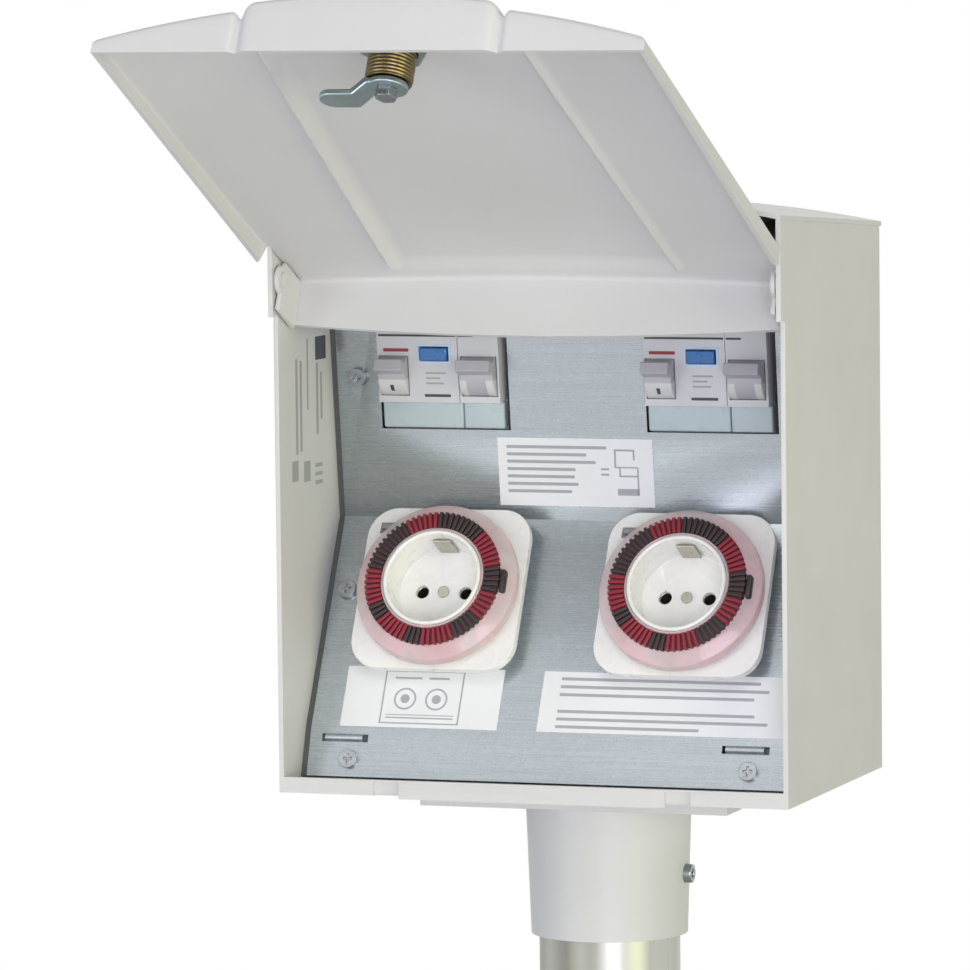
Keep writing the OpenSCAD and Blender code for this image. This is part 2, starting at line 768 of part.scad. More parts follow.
module socket_cup(side) {
    sleeve_top = floor_q - 2.5;
    color([0.95, 0.95, 0.93]) timer(side) difference() {
        translate([0, 0, cup_back]) cylinder(d = cup_d, h = rim_q - cup_back);
        translate([0, 0, floor_q]) cylinder(d = socket_d, h = socket_depth + eps);
        for (x = [-1, 1]) translate([x * pin_pitch / 2, 0, 0]) {
            translate([0, 0, cup_back - eps]) cylinder(d = sleeve_d, h = sleeve_top - cup_back);
            cylinder(d = pin_hole_d, h = floor_q + 1);
        }
    }
}
module socket_contacts(side) {
    sleeve_top = floor_q - 2.5;
    screw_head = 5;
    color("goldenrod") timer(side) {
        for (x = [-1, 1]) translate([x * pin_pitch / 2, 0, cup_back]) difference() {
            cylinder(d = sleeve_d, h = sleeve_top - cup_back - eps);
            translate([0, 0, -eps])
                cylinder(d = sleeve_d - 2 * sleeve_wall, h = sleeve_top - cup_back + 2 * eps);
        }
        for (y = [-1, 1]) translate([0, y * (socket_d / 2 - 1.2), floor_q + clip_h / 2])
            cube([clip_w, clip_t, clip_h], center = true);
        translate([0, 0, floor_q]) cylinder(d = screw_head, h = 1);
    }
}
module dial(side) {
    color([0.9, 0.75, 0.77]) timer(side) difference() {
        union() {
            translate([0, 0, skirt_q]) cylinder(d = skirt_d, h = skirt_h);
            translate([0, 0, skirt_q + skirt_h])
                cylinder(d1 = skirt_d, d2 = tappet_d, h = tappet_q - skirt_q - skirt_h);
            translate([0, 0, skirt_q]) cylinder(r = hub_r + hub_wall, h = rim_q - skirt_q - tappet_drop);
        }
        translate([0, 0, skirt_q - eps]) cylinder(r = hub_r, h = rim_q - skirt_q);
    }
}
function tappet_angle(i) = i * 360 / tappet_n;
function is_red(i) = len([for (z = red_zones) if (tappet_angle(i) >= z[0] && tappet_angle(i) <= z[1]) z]) > 0;
module tappets(side, red) {
    color(red ? [0.59, 0.08, 0.16] : [0.16, 0.13, 0.13]) timer(side)
        for (i = [0:tappet_n - 1]) if (is_red(i) == red) rotate([0, 0, tappet_angle(i)])
            translate([tappet_in, -tappet_w / 2, tappet_q])
                cube([tappet_d / 2 - tappet_in, tappet_w, tappet_h]);
}

// Door
function up_share(z) = (z - door_low) / (door_top - door_low);
function side_depth(z) = lerp(door_side, door_side_top, up_share(z));
function bow(z) = lerp(bow_low, bow_top, up_share(z));
function band_half(z) = lerp(band_low, band_top, up_share(z)) / 2;
// Columns across the door at height z, as [x, extra depth], from left to right
function half_columns(z) = concat(
    [for (i = [0:flank_n]) [-lerp(door_w / 2, band_half(z) + groove_w, i / flank_n), 0]],
    [[-band_half(z) - groove_w / 2, -groove_deep]],
    [for (i = [0:band_n / 2]) [-lerp(band_half(z), 0, 2 * i / band_n), band_rise]]
);
function columns(z) = concat(half_columns(z),
    [for (c = reverse([for (i = [0:len(half_columns(z)) - 2]) half_columns(z)[i]])) [-c[0], c[1]]]);
function bow_at(x, z) = bow(z) * (1 - pow(2 * x / door_w, 2));
function face_y(c, z) = rim_y - side_depth(z) - c[1] - bow_at(c[0], z);
function outer_line(z) = [for (c = columns(z)) [c[0], face_y(c, z)]];
function inner_x(x) = sign(x) * min(abs(x), door_w / 2 - door_t);
function inner_line(z) = [for (c = columns(z)) [inner_x(c[0]), face_y(c, z) + door_t]];
function door_outline(z) = concat([[-door_w / 2, rim_y]], outer_line(z), [[door_w / 2, rim_y]]);
function inner_outline(z) = concat(
    [[door_t - door_w / 2, rim_y]], inner_line(z), [[door_w / 2 - door_t, rim_y]]);
// The door's pressed sheet: outer and inner rings joined along the rim, with a wall across its lower end
module door_skin() {
    m = len(door_outline(0));
    n = ring_n * m;
    last = ring_n - 1;
    low = door_low + door_t;
    outer = [for (k = [0:last]) let (z = lerp(door_low, door_top, k / last))
        each [for (p = door_outline(z)) [p[0], p[1], z]]];
    inner = [for (k = [0:last]) let (z = lerp(low, door_top, k / last))
        each [for (p = inner_outline(z)) [p[0], p[1], z]]];
    outer_walls = [for (k = [0:last - 1], i = [0:m - 2]) each let (a = k * m + i, b = a + m)
        [[a, b, a + 1], [a + 1, b, b + 1]]];
    inner_walls = [for (k = [0:last - 1], i = [0:m - 2]) each let (a = n + k * m + i, b = a + m)
        [[a, a + 1, b], [a + 1, b + 1, b]]];
    rims = [for (k = [0:last - 1]) each let (l = k * m, r = l + m - 1) [
        [l, n + l, n + l + m, l + m],
        [n + r, r, r + m, n + r + m]
    ]];
    caps = [
        [for (i = [0:m - 1]) i],
        [for (i = [m - 1:-1:0]) n + i],
        [0, m - 1, n + m - 1, n]
    ];
    upper_edge = [for (i = [0:m - 2]) let (a = last * m + i) [a + 1, a, n + a, n + a + 1]];
    polyhedron(concat(outer, inner), concat(outer_walls, inner_walls, rims, caps, upper_edge), convexity = 6);
}
module door_panel() {
    cut = 10 * door_side_top;
    cut_h = door_top - neck_z + cut;
    color([0.76, 0.76, 0.76]) door() difference() {
        door_skin();
        for (x = [-1, 1]) translate([x * (neck_w + door_w) / 2, 0, neck_z + cut_h / 2])
            cube([door_w, cut, cut_h], center = true);
        translate([0, rim_y, lock_z]) rotate([90, 0, 0]) cylinder(d = lock_d, h = hole_reach);
    }
}
module door_strip() {
    steps = 16;
    back_edge = [for (i = [steps:-1:0]) let (x = lerp(-neck_w / 2, neck_w / 2, i / steps))
        [x, hinge_y + strip_reach + strip_bow * (1 - pow(2 * x / door_w, 2))]];
    end_y = rim_y - door_side_top - bow_at(neck_w / 2, door_top) + door_t;
    front_edge = [for (p = inner_line(door_top)) if (abs(p[0]) < neck_w / 2) p];
    color([0.78, 0.78, 0.78]) door() translate([0, 0, door_top - door_t]) linear_extrude(door_t)
        polygon(concat([[-neck_w / 2, end_y]], front_edge, [[neck_w / 2, end_y]], back_edge));
}
module door_ear(side) {
    top = door_top - door_t;
    front = rim_y - side_depth(hinge_z) + door_t + 0.4;
    color([0.74, 0.74, 0.74]) door() mirror([side < 0 ? 1 : 0, 0, 0]) difference() {
        union() {
            block([ear_x - ear_t, front, hinge_z], [ear_x, hinge_y + ear_back, top]);
            translate([ear_x - ear_t, hinge_y, hinge_z]) rotate([0, 90, 0]) cylinder(r = ear_r, h = ear_t);
        }
        translate([ear_x - 2 * ear_t, hinge_y, hinge_z]) rotate([0, 90, 0])
            cylinder(r = pin_d / 2 + pin_clear, h = 4 * ear_t);
    }
}

// Lock
lock_front = face_y([0, band_rise], lock_z);
module lock_axis() {
    door() translate([0, lock_front, lock_z]) rotate([-90, 0, 0]) children();
}
lock_len = cam_y - cam_crank - lock_front - plug_gap;
lock_face = lock_seat + lock_head_t;
module lock_body() {
    color([0.47, 0.41, 0.27]) lock_axis() difference() {
        union() {
            translate([0, 0, -lock_face]) cylinder(d = lock_d + 5, h = lock_head_t);
            translate([0, 0, -lock_face]) cylinder(d = lock_d, h = lock_len + lock_face);
        }
        translate([0, 0, -lock_face - eps])
            cylinder(r = plug_d / 2 + pin_clear, h = lock_len + lock_face + 1);
    }
}
module lock_nut() {
    nut_t = 6;
    color([0.6, 0.62, 0.6]) lock_axis() translate([0, 0, door_t + lock_seat]) difference() {
        cylinder(d = lock_nut_af / cos(180 / 6), h = nut_t, $fn = 6);
        translate([0, 0, -eps]) cylinder(d = lock_d, h = nut_t + 2 * eps);
    }
}
module lock_plug() {
    key_w = 2;
    key_h = 7;
    key_deep = 12;
    color([0.62, 0.6, 0.52]) lock_axis() translate([0, 0, -lock_face]) difference() {
        cylinder(d = plug_d, h = lock_len + lock_face + plug_gap);
        translate([-key_w / 2, -key_h / 2, -eps]) cube([key_w, key_h, key_deep]);
    }
}
module lock_cam() {
    hub_r = cam_w / 2 + 2;
    mitre_in = cam_t * tan(45 / 2);
    color([0.59, 0.66, 0.67]) lock_axis() translate([0, 0, lock_len + plug_gap]) difference() {
        union() {
            cylinder(r = hub_r, h = cam_t);
            intersection() {
                translate([0, cam_w / 2, 0]) rotate([90, 0, 0]) linear_extrude(cam_w) polygon([
                    [-cam_len, cam_crank], [-hub_r - cam_crank, cam_crank], [-hub_r, 0], [0, 0], [0, cam_t],
                    [mitre_in - hub_r, cam_t], [mitre_in - hub_r - cam_crank, cam_crank + cam_t],
                    [-cam_len, cam_crank + cam_t]
                ]);
                linear_extrude(cam_crank + cam_t) {
                    translate([cam_w / 2 - cam_len, 0]) circle(d = cam_w);
                    translate([cam_w / 2 - cam_len, -cam_w / 2]) square([cam_len, cam_w]);
                }
            }
        }
        translate([0, 0, -eps]) cylinder(d = lock_screw_d, h = cam_t + 2 * eps);
    }
}
module cam_screw() {
    head_t = 4;
    color("silver") lock_axis() translate([0, 0, lock_len + plug_gap]) {
        cylinder(d = lock_screw_d, h = cam_t);
        translate([0, 0, cam_t]) cylinder(d = 1.8 * lock_screw_d, h = head_t, $fn = 6);
    }
}

post_tube();
collar_flange();
collar_sleeve();
collar_bolts();
collar_set_screw();
cabinet_body();
back_panel();
roof();
hinge_pins();
plate_brackets();
mounting_plate();
plate_screws();
din_rail();
rcd(-1);  // rcd_left
rcd(1);  // rcd_right
mcb(-1);  // mcb_left
mcb(1);  // mcb_right
toggle(rcd_toggle_x(-1), rcd_toggle_w);  // toggle_rcd_left
toggle(rcd_toggle_x(1), rcd_toggle_w);  // toggle_rcd_right
toggle(mcb_mid(-1), mcb_toggle_w);  // toggle_mcb_left
toggle(mcb_mid(1), mcb_toggle_w);  // toggle_mcb_right
test_button(-1);  // test_button_left
test_button(1);  // test_button_right
timer_base(-1);  // timer_base_left
timer_base(1);  // timer_base_right
timer_housing(-1);  // timer_housing_left
timer_housing(1);  // timer_housing_right
timer_motor(-1);  // timer_motor_left
timer_motor(1);  // timer_motor_right
socket_cup(-1);  // socket_cup_left
socket_cup(1);  // socket_cup_right
socket_contacts(-1);  // socket_contacts_left
socket_contacts(1);  // socket_contacts_right
dial(-1);  // dial_left
dial(1);  // dial_right
tappets(-1, false);  // black_tappets_left
tappets(1, false);  // black_tappets_right
tappets(-1, true);  // red_tappets_left
tappets(1, true);  // red_tappets_right
override_slide(-1);  // override_slide_left
override_slide(1);  // override_slide_right
plate_stickers();
terminal_block();
earth_stud();
cable_grommet();
door_panel();
door_strip();
door_ear(-1);  // door_ear_left
door_ear(1);  // door_ear_right
lock_body();
lock_nut();
lock_plug();
lock_cam();
cam_screw();
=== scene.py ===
"""Garden socket post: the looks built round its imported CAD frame."""

import json
import math

import bmesh
import bpy
import numpy as np
from mathutils import Matrix, Vector

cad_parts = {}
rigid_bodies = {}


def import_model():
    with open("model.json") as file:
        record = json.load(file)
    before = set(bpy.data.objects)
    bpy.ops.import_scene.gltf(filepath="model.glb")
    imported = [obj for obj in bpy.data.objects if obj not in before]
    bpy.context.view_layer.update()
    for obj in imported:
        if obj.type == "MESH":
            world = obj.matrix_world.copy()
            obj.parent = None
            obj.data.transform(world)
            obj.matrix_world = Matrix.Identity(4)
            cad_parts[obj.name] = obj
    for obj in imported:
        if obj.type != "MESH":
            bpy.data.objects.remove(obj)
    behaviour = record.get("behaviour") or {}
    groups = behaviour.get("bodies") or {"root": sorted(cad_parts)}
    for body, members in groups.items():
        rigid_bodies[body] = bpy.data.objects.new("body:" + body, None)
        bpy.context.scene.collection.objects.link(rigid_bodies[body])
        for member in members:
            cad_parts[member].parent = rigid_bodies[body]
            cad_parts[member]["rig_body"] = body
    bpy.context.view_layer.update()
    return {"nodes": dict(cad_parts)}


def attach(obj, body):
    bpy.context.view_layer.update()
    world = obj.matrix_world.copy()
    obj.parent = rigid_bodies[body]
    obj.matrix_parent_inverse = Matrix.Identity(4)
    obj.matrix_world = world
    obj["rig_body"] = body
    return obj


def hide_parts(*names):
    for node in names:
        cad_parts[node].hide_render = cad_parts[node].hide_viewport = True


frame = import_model()
nodes = frame["nodes"]
scene = bpy.context.scene
scene.view_settings.view_transform = "Standard"

# Places shared with the CAD source, in millimetres; the cabinet's own origin is its front lower edge
POST_Y, BOX_Z = 104.0, 504.0
HINGE = (0.0, 213.0)
DOOR_OPEN = 117.0
BEND = (69.5, 109.471)
LOW_BEND_Z = 24.85
PLATE_LEAN, PLATE_TILT = 7.0, 27.5
LOW_BEND = (BEND[0] - (BEND[1] - LOW_BEND_Z) * math.tan(math.radians(PLATE_TILT)), LOW_BEND_Z)
TIMER_X, TIMER_S = 53.25, 59.0
TAPPET_IN, TAPPET_OUT, TAPPET_Q = 22.6, 28.9, 20.5
INNER_LEFT = -108.0


def camera_at_photo():
    """The photograph's camera: its place, its three directions and its focal length in pixels."""
    place = np.array([853.33, -2533.56 - POST_Y, 352.73 + BOX_Z]) / 1000
    right = np.array([0.945830, 0.324495, -0.010397])
    up = np.array([-0.017120, 0.081829, 0.996499])
    ahead = np.array([-0.324210, 0.942341, -0.082952])
    focal_px, frame_px, sensor = 6568.91, 970, 36.0
    data = bpy.data.cameras.new("photo_camera")
    data.sensor_width = sensor
    data.lens = focal_px * sensor / frame_px
    data.clip_start, data.clip_end = 0.1, 60
    camera = bpy.data.objects.new("photo_camera", data)
    turn = Matrix([[right[i], up[i], -ahead[i]] for i in range(3)]).to_4x4()
    camera.matrix_world = Matrix.Translation(place) @ turn
    scene.collection.objects.link(camera)
    scene.camera = camera


camera_at_photo()


# Frames. Each takes points in millimetres and gives row-frame metres.
def on_cabinet(p):
    """Cabinet points: x right, y back from the front edges, z up from the underside."""
    return (np.asarray(p, float) + [0, -POST_Y, BOX_Z]) / 1000


def on_door(p):
    """Points of the closed door, turned open about the hinge line."""
    p = np.asarray(p, float)
    a = math.radians(-DOOR_OPEN)
    y, z = p[..., 1] - HINGE[0], p[..., 2] - HINGE[1]
    turned_y = HINGE[0] + y * math.cos(a) - z * math.sin(a)
    turned_z = HINGE[1] + y * math.sin(a) + z * math.cos(a)
    return on_cabinet(np.stack([p[..., 0], turned_y, turned_z], -1))


def on_sheet(p, bend, angle):
    """Points (x, along, out) on a sheet that leaves a bend at an angle back from the vertical."""
    p = np.asarray(p, float)
    a = math.radians(angle)
    along, out = p[..., 1], p[..., 2]
    y = bend[0] + along * math.sin(a) - out * math.cos(a)
    z = bend[1] + along * math.cos(a) + out * math.sin(a)
    return on_cabinet(np.stack([p[..., 0], y, z], -1))


def on_upper(p):
    """The plate's upper part, which leans to the front."""
    return on_sheet(p, BEND, -PLATE_LEAN)


def on_tilted(p):
    """The plate's tilted part, which carries the timers."""
    return on_sheet(p, LOW_BEND, PLATE_TILT)


def on_timer(side):
    """A timer's frame: x right, y up the plate, z out along the dial's axis."""
    return lambda p: on_tilted(np.asarray(p, float) + [side * TIMER_X, TIMER_S, 0])


def on_left_wall(p):
    """The left side's inner face: x back from the front edge, y up, z into the cabinet."""
    p = np.asarray(p, float)
    return on_cabinet(np.stack([INNER_LEFT + p[..., 2], p[..., 0], p[..., 1]], -1))


# Surfaces. Each gives (points, faces) in local millimetres.
def grid_faces(rows, cols, wrap_rows=False, wrap_cols=False):
    """Quads of a rows by cols grid, wound so that column direction cross row direction points out."""
    r = np.arange(rows if wrap_rows else rows - 1)[:, None]
    c = np.arange(cols if wrap_cols else cols - 1)[None, :]
    r2, c2 = (r + 1) % rows, (c + 1) % cols
    quads = np.stack([r * cols + c, r * cols + c2, r2 * cols + c2, r2 * cols + c], -1)
    return [tuple(q) for q in quads.reshape(-1, 4).tolist()]


def lathe(profile, turns):
    """A closed profile of (radius, height) turned about z: x = r cos a, y = r sin a, z = height."""
    profile = np.asarray(profile, float)
    a = np.linspace(0, 2 * np.pi, turns, endpoint=False)
    r, h = profile[:, :1], profile[:, 1:]
    points = np.stack([r * np.cos(a), r * np.sin(a), np.broadcast_to(h, (len(profile), turns))], -1)
    return points.reshape(-1, 3), grid_faces(len(profile), turns, True, True)


def rounded_rect(w, h, r, steps, centre):
    """The outline of a rectangle with round corners, drawn in by an inset: four quarter circles."""
    t = np.linspace(0, np.pi / 2, steps + 1)
    quarter = np.concatenate([t + k * np.pi / 2 for k in range(4)])
    sx = np.repeat([1, -1, -1, 1], steps + 1)
    sy = np.repeat([1, 1, -1, -1], steps + 1)

    def outline(inset):
        radius = max(r - inset, 0.02)
        x = centre[0] + sx * (w / 2 - inset - radius) + radius * np.cos(quarter)
        y = centre[1] + sy * (h / 2 - inset - radius) + radius * np.sin(quarter)
        return np.stack([x, y], -1)

    return outline


def soft_layers(low, high, edge=0.0, steps=3):
    """(inset, height) pairs up a straight wall whose upper edge, where given, is a quarter round."""
    if not edge:
        return [(0, low), (0, high)]
    turn = np.linspace(0, np.pi / 2, steps + 1)
    return [(0, low)] + [(edge * (1 - math.cos(a)), high - edge * (1 - math.sin(a))) for a in turn]


def slab(outline, layers):
    """An outline carried up a stack of (inset, height) layers and closed by flat caps."""
    flats = [outline(inset) for inset, _ in layers]
    n = len(flats[0])
    rings = [np.column_stack([flat, np.full(n, height)]) for flat, (_, height) in zip(flats, layers)]
    faces = grid_faces(len(rings), n, False, True)
    faces.append(tuple(range(n - 1, -1, -1)))
    faces.append(tuple(range((len(rings) - 1) * n, len(rings) * n)))
    return np.concatenate(rings), faces


def marks(rows, low, high, shift=0.0):
    """Thin plates with lower left corners at (x, along), each of a (width, height)."""
    return [
        slab(
            rounded_rect(w, h, min(0.3, 0.4 * min(w, h)), 2, (x + shift + w / 2, y + h / 2)),
            soft_layers(low, high),
        )
        for x, y, w, h in rows
    ]


def join(parts):
    """Several (points, faces) surfaces as one."""
    points, faces, start = [], [], 0
    for p, f in parts:
        points.append(np.asarray(p, float))
        faces += [tuple(i + start for i in face) for face in f]
        start += len(p)
    return np.concatenate(points), faces


def place(parts, frame_of):
    """Joined parts with their points carried into the row frame."""
    points, faces = join(parts)
    return frame_of(points), faces


def piece(name, surface, finish, body, slot, replaces=(), smooth=38):
    """A mesh from row-frame points and faces: doubles merged, smooth up to an angle, on its body."""
    points, faces = surface
    mesh = bpy.data.meshes.new(name)
    mesh.from_pydata(points.tolist(), [], faces)
    return dress(mesh, name, finish, body, slot, replaces, smooth)


def dress(mesh, name, finish, body, slot, replaces=(), smooth=38, flatten=0.0):
    """Merges a mesh's doubles, and its flat neighbours where asked, and makes it a piece of a body."""
    bm = bmesh.new()
    bm.from_mesh(mesh)
    bmesh.ops.remove_doubles(bm, verts=bm.verts, dist=2e-6)
    bmesh.ops.recalc_face_normals(bm, faces=bm.faces)
    if flatten:
        bmesh.ops.dissolve_limit(bm, angle_limit=math.radians(flatten), verts=bm.verts, edges=bm.edges)
    bm.to_mesh(mesh)
    bm.free()
    mesh.polygons.foreach_set("use_smooth", np.ones(len(mesh.polygons), bool))
    mesh.set_sharp_from_angle(angle=math.radians(smooth))
    made = bpy.data.objects.new(name, mesh)
    scene.collection.objects.link(made)
    mesh.materials.clear()
    mesh.materials.append(finish)
    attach(made, body)
    if replaces:
        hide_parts(*replaces)
    return made


def rounded_copy(node, finish, slot, width, segments=2):
    """A merged copy of a CAD node with its sharp edges rounded, standing for that node."""
    mesh = nodes[node].data.copy()
    name = node + "_rounded"
    mesh.name = name
    made = dress(mesh, name, finish, nodes[node]["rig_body"], slot, (node,), 30, 0.3)
    bevel = made.modifiers.new("edge_round", "BEVEL")
    bevel.width = width / 1000
    bevel.segments = segments
    bevel.limit_method = "ANGLE"
    bevel.angle_limit = math.radians(28)
    return made


# Materials
class Sock:
    """A shader value; arithmetic on it adds Math nodes to its finish."""

    def __init__(self, finish, socket):
        self.finish, self.socket = finish, socket

    def math(self, operation, other, swap=False):
        a, b = (other, self) if swap else (self, other)
        return self.finish.node("ShaderNodeMath", {"operation": operation}, {0: a, 1: b})

    def __add__(self, other):
        return self.math("ADD", other)

    def __sub__(self, other):
        return self.math("SUBTRACT", other)

    def __mul__(self, other):
        return self.math("MULTIPLY", other)

    def __radd__(self, other):
        return self.math("ADD", other, True)

    def __rsub__(self, other):
        return self.math("SUBTRACT", other, True)

    def __rmul__(self, other):
        return self.math("MULTIPLY", other, True)


class Nodes:
    """A node tree that starts empty; node() adds any node to it."""

    def __init__(self, tree):
        self.tree = tree
        tree.nodes.clear()

    def put(self, socket, value):
        if isinstance(value, Sock):
            self.tree.links.new(value.socket, socket)
        else:
            socket.default_value = value

    def node(self, kind, settings=None, inputs=None, out=0):
        made = self.tree.nodes.new(kind)
        for key, value in (settings or {}).items():
            setattr(made, key, value)
        for key, value in (inputs or {}).items():
            self.put(made.inputs[key], value)
        return Sock(self, made.outputs[out])


class Finish(Nodes):
    """A node material, with helpers for the patterns that the finishes share."""

    def __init__(self, name):
        self.material = bpy.data.materials.new(name)
        self.material.use_nodes = True
        super().__init__(self.material.node_tree)
        self.output = self.tree.nodes.new("ShaderNodeOutputMaterial")
        self.shader = self.tree.nodes.new("ShaderNodeBsdfPrincipled")
        self.tree.links.new(self.shader.outputs[0], self.output.inputs[0])

    def set(self, **sockets):
        for key, value in sockets.items():
            self.put(self.shader.inputs[key.replace("_", " ")], value)

    def coords(self, stretch=(1, 1, 1)):
        at = self.node("ShaderNodeTexCoord", out=3)
        return self.node("ShaderNodeMapping", {}, {"Vector": at, "Scale": stretch})

    def noise(self, scale, detail=2.0, stretch=(1, 1, 1), rough=0.5):
        inputs = {"Vector": self.coords(stretch), "Scale": scale, "Detail": detail, "Roughness": rough}
        return self.node("ShaderNodeTexNoise", {}, inputs)

    def spread(self, value, low, high):
        """A 0 to 1 pattern, about its middle, as a range from low to high."""
        inputs = {"Value": value, "From Min": 0.3, "From Max": 0.7, "To Min": low, "To Max": high}
        return self.node("ShaderNodeMapRange", {}, inputs)

    def tint(self, mask, low, high):
        """A colour from low to high by a 0 to 1 mask."""
        settings = {"data_type": "RGBA"}
        inputs = {0: mask, 6: (*low, 1), 7: (*high, 1)}
        return self.node("ShaderNodeMix", settings, inputs, 2)

    def bump(self, height, strength, distance):
        inputs = {"Strength": strength, "Distance": distance, "Height": height}
        return self.node("ShaderNodeBump", {}, inputs)


def linear(*srgb):
    """A colour picked in sRGB steps of 255 as linear light."""
    c = np.array(srgb, float) / 255
    return tuple(np.where(c <= 0.04045, c / 12.92, ((c + 0.055) / 1.055) ** 2.4).tolist())


def shade(colour, factor):
    return tuple(min(1.0, c * factor) for c in colour)


def powder_coat(name, colour, rough=0.42, grain=0.06):
    """Baked powder paint: a fine orange peel, slow drifts of tone and a satin gloss."""
    f = Finish(name)
    drift = f.spread(f.noise(9, 3), 0, 1)
    peel = f.noise(850, 2)
    f.set(Base_Color=f.tint(drift, shade(colour, 0.955), shade(colour, 1.03)))
    f.set(Roughness=f.spread(f.noise(60, 3), rough - 0.05, rough + 0.06))
    f.set(Normal=f.bump(peel, grain, 0.0006))
    return f.material


def moulding(name, colour, rough=0.35, coat=0.0, grain=0.03):
    """Moulded plastic: a faint flow pattern in its colour, a fine skin and an even gloss."""
    f = Finish(name)
    flow = f.spread(f.noise(45, 3), 0, 1)
    f.set(Base_Color=f.tint(flow, shade(colour, 0.98), shade(colour, 1.01)))
    f.set(Roughness=f.spread(f.noise(160, 2), rough - 0.04, rough + 0.05), Coat_Weight=coat)
    f.set(Normal=f.bump(f.noise(1400, 2), grain, 0.0004))
    return f.material


def galvanised_sheet(name, colour):
    """Zinc coated sheet: rolling lines along x, faint small spangles and rubbed patches."""
    f = Finish(name)
    spangle = f.node("ShaderNodeTexVoronoi", {}, {"Vector": f.coords(), "Scale": 420.0}, 1)
    cell = f.node("ShaderNodeSeparateColor", {}, {0: spangle})
    lines = f.noise(26, 4, (0.7, 60, 60), 0.65)
    patches = f.noise(14, 3)
    tone = cell * 0.07 + lines * 0.75 + patches * 0.18
    f.set(Base_Color=f.tint(f.spread(tone, 0, 1), shade(colour, 0.94), shade(colour, 1.05)))
    f.set(Metallic=0.8)
    f.set(Roughness=f.spread(tone, 0.23, 0.31), Normal=f.bump(lines, 0.025, 0.0005))
    return f.material


def drawn_metal(name, colour, stretch, rough=0.3, scale=30.0, depth=0.07):
    """Drawn or turned metal: fine streaks along one way, brighter and duller by turns."""
    f = Finish(name)
    streak = f.noise(scale, 4, stretch, 0.65)
    f.set(Base_Color=f.tint(f.spread(streak, 0, 1), shade(colour, 0.86), shade(colour, 1.08)))
    f.set(Metallic=1.0)
    f.set(Roughness=f.spread(streak, rough - 0.06, rough + 0.1), Normal=f.bump(streak, depth, 0.0004))
    return f.material


def streaked_tube(name, dark, light):
    """Zinc coated tube: upright bands, light and dark by turns, with fine drawing lines along it."""
    f = Finish(name)
    bands = f.spread(f.noise(38, 1.5, (1, 1, 0.02)), 0, 1)
    fine = f.noise(420, 3, (1, 1, 0.01), 0.6)
    f.set(Base_Color=f.tint(bands * 0.8 + fine * 0.2, dark, light), Metallic=0.6)
    f.set(Roughness=f.spread(fine, 0.26, 0.38), Normal=f.bump(fine, 0.05, 0.0004))
    return f.material


def tinted_clear(name, pale, tinted, see):
    """Clear moulded plastic: a pale cast with tinted clouds and a fine pebbled skin."""
    f = Finish(name)
    cloud = f.spread(f.noise(52, 2), 0, 1)
    pebble = f.noise(900, 2)
    f.set(Base_Color=f.tint(cloud, pale, tinted), Roughness=0.16, Coat_Weight=0.4)
    f.set(Alpha=f.spread(cloud, see - 0.05, see + 0.1), Normal=f.bump(pebble, 0.25, 0.0006))
    return f.material


SPLIT_BLUR, SIDE_BLUR = 0.0004, 0.0002
UPPER_ALONG = (0.0, -math.sin(math.radians(PLATE_LEAN)), math.cos(math.radians(PLATE_LEAN)))


def toggle_moulding(name, lever, drum, split, middle=0.0, narrow=0.0):
    """Toggle plastic in two tones: the lever's above a split along the plate, the drum's below it.
    Where a width is given, the drum's middle keeps the lever's tone."""
    f = Finish(name)
    at = f.node("ShaderNodeTexCoord", out=3)
    along = f.node("ShaderNodeVectorMath", {"operation": "DOT_PRODUCT"}, {0: at, 1: UPPER_ALONG}, 1)
    past = along - float(np.dot(on_upper([0, split, 0]), UPPER_ALONG))
    span = {"Value": past, "From Min": SPLIT_BLUR, "From Max": -SPLIT_BLUR}
    below = f.node("ShaderNodeMapRange", {}, span)
    if narrow:
        across = f.node("ShaderNodeSeparateXYZ", {}, {0: at}) - middle
        apart = f.node("ShaderNodeMath", {"operation": "ABSOLUTE"}, {0: across}) - narrow
        span = {"Value": apart, "From Min": -SIDE_BLUR, "From Max": SIDE_BLUR}
        below = below * f.node("ShaderNodeMapRange", {}, span)
    f.set(Base_Color=f.tint(below, lever, drum), Roughness=f.spread(f.noise(160, 2), 0.36, 0.46))
    f.set(Normal=f.bump(f.noise(1400, 2), 0.03, 0.0004))
    return f.material


COAT = powder_coat("cabinet_powder_coat", linear(214, 214, 212))
DOOR_COAT = powder_coat("door_powder_coat", linear(214, 214, 214), 0.45)
CAST = powder_coat("collar_coat", linear(216, 217, 216), 0.42, 0.03)
ZINC_SHEET = galvanised_sheet("plate_zinc", linear(170, 177, 182))
TUBE = streaked_tube("tube_steel", linear(112, 111, 98), linear(206, 207, 200))
PLATED = drawn_metal("zinc_plating", linear(160, 164, 167), (1, 1, 1), 0.3, 300.0, 0.05)
CAM_ZINC = drawn_metal("cam_zinc", linear(168, 184, 186), (0.2, 1, 1), 0.34, 260.0, 0.06)
BRASS = drawn_metal("lock_brass", linear(132, 117, 82), (1, 1, 1), 0.33, 400.0, 0.1)
CONTACT = drawn_metal("contact_brass", linear(186, 184, 168), (1, 1, 1), 0.3, 300.0, 0.05)
BREAKER = moulding("breaker_white", linear(210, 211, 214), 0.42)
COVER = moulding("terminal_cover", linear(188, 203, 206), 0.3, 0.2)
LEVER, DRUM = linear(182, 181, 188), linear(214, 215, 216)
BLUE = moulding("test_blue", linear(52, 112, 178), 0.3, 0.2)
WHITE = moulding("timer_white", linear(243, 243, 239), 0.28, 0.25)
BLACK = moulding("tappet_black", linear(44, 36, 37), 0.4)
RED = moulding("tappet_red", linear(142, 28, 48), 0.36)
# Dark red bed colour: the dial ring's own red tint, darkened as painted shade for the gaps between the
# tappets.
TAPPET_GAP_SHADE = moulding("tappet_shade_bed", linear(74, 34, 40), 0.5)
SLIDE = moulding("slide_grey", linear(150, 150, 152), 0.4)
